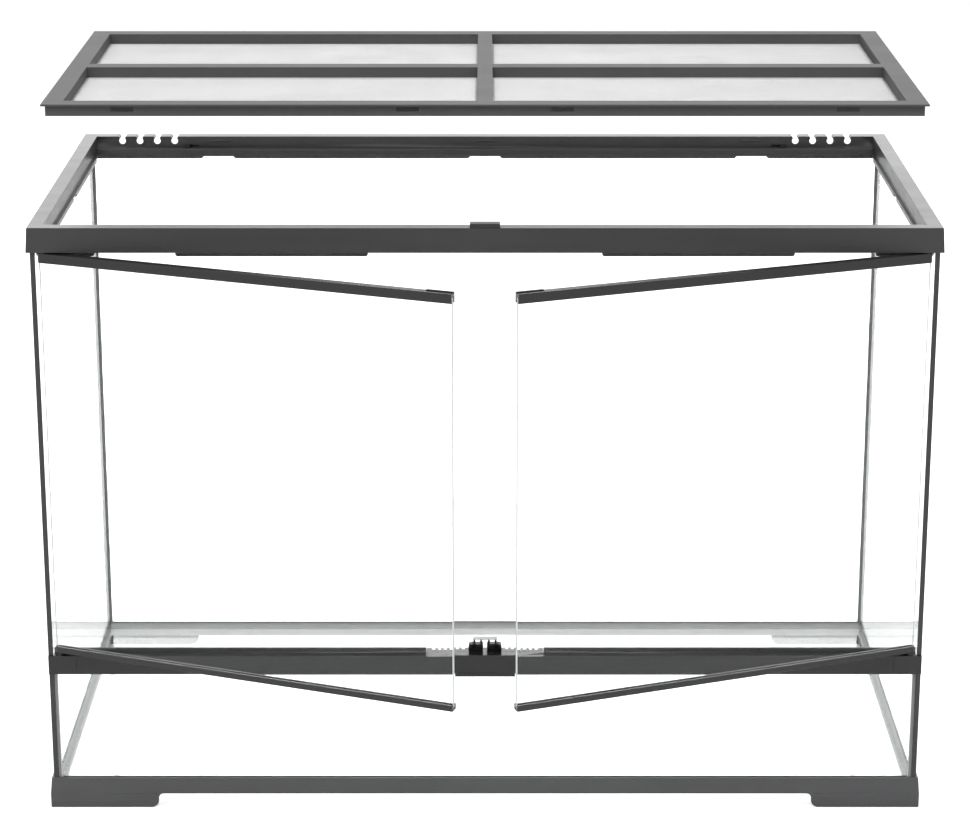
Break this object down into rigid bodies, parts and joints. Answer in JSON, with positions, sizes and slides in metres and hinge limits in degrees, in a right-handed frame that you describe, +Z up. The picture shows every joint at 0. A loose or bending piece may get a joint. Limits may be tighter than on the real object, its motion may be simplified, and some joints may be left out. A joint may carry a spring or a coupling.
{
  "type": "terrarium cabinet",
  "caption": "Front-opening glass terrarium on a low footed base, with two outward-swinging glass doors, a press latch, cable inlets and a lift-off mesh lid.",
  "frame": {"origin": "centre of the glass box's footprint, on the plane that the four feet stand on", "axes": "+X to the right seen from the front, +Y to the rear, +Z up"},
  "size_m": [0.9076, 0.6131, 0.742],
  "materials": {
    "clear_glass": "polished float glass",
    "base_plastic": "fine satin, moulded",
    "charcoal_plastic": "fine satin, moulded",
    "lid_plastic": "fine satin, moulded",
    "wire_mesh": "fine woven wire",
    "black_plastic": "semi-gloss",
    "grey_plastic": "satin",
    "steel_pin": "bright drawn wire",
    "rubber_pad": "matte",
    "black_silicone": "smooth silicone",
    "clear_silicone": "smooth translucent silicone"
  },
  "bodies": {
    "cabinet": {"base_frame": "base_plastic", "floor_glass": "clear_glass", "left_side_glass": "clear_glass", "right_side_glass": "clear_glass", "rear_glass": "clear_glass", "front_lower_glass": "clear_glass", "top_frame": "charcoal_plastic", "door_sill": "charcoal_plastic", "left_sill_cap": "charcoal_plastic", "right_sill_cap": "charcoal_plastic", "vent_grille": "charcoal_plastic", "left_edge_trim": "black_silicone", "right_edge_trim": "black_silicone", "rear_left_seal": "clear_silicone", "rear_right_seal": "clear_silicone", "front_left_seal": "black_silicone", "front_right_seal": "black_silicone", "floor_seal": "clear_silicone", "latch_springs": "steel_pin"},
    "left_door": {"left_door_glass": "clear_glass", "left_door_top_rail": "charcoal_plastic", "left_door_bottom_rail": "charcoal_plastic", "left_door_bumper": "rubber_pad", "left_door_top_pin": "steel_pin", "left_door_bottom_pin": "steel_pin", "left_door_strike": "steel_pin"},
    "right_door": {"right_door_glass": "clear_glass", "right_door_top_rail": "charcoal_plastic", "right_door_bottom_rail": "charcoal_plastic", "right_door_bumper": "rubber_pad", "right_door_top_pin": "steel_pin", "right_door_bottom_pin": "steel_pin", "right_door_strike": "steel_pin"},
    "latch": {"latch_plate": "charcoal_plastic", "left_latch_receiver": "black_plastic", "right_latch_receiver": "black_plastic", "latch_bridge": "grey_plastic"},
    "lid": {"lid_frame": "lid_plastic", "lid_mesh_front_left": "wire_mesh", "lid_mesh_front_right": "wire_mesh", "lid_mesh_rear_left": "wire_mesh", "lid_mesh_rear_right": "wire_mesh"},
    "catch": {"lid_catch": "charcoal_plastic"},
    "left_slider": {"left_inlet_slider": "charcoal_plastic"},
    "right_slider": {"right_inlet_slider": "charcoal_plastic"}
  },
  "joints": [
    {"name": "left_door_hinge", "type": "hinge", "parent": "cabinet", "child": "left_door", "pos_m": [-0.438, -0.2235, 0.17], "axis": [0, 0, -1], "range_deg": [-21, 89]},
    {"name": "right_door_hinge", "type": "hinge", "parent": "cabinet", "child": "right_door", "pos_m": [0.438, -0.2235, 0.17], "axis": [0, 0, 1], "range_deg": [-21, 89]},
    {"name": "lid_lift", "type": "slide", "parent": "cabinet", "child": "lid", "axis": [0, 0, 1], "range_m": [-0.12, 0.08]},
    {"name": "latch_press", "type": "slide", "parent": "cabinet", "child": "latch", "axis": [0, 1, 0], "range_m": [0, 0.0025], "stiffness_N_per_m": 400, "springref_m": -0.001, "deforming": ["latch_springs"]},
    {"name": "lid_catch_slide", "type": "slide", "parent": "cabinet", "child": "catch", "axis": [0, 1, 0], "range_m": [0, 0.0076]},
    {"name": "left_inlet_slide", "type": "slide", "parent": "cabinet", "child": "left_slider", "axis": [1, 0, 0], "range_m": [0, 0.0098]},
    {"name": "right_inlet_slide", "type": "slide", "parent": "cabinet", "child": "right_slider", "axis": [-1, 0, 0], "range_m": [0, 0.0098]}
  ]
}
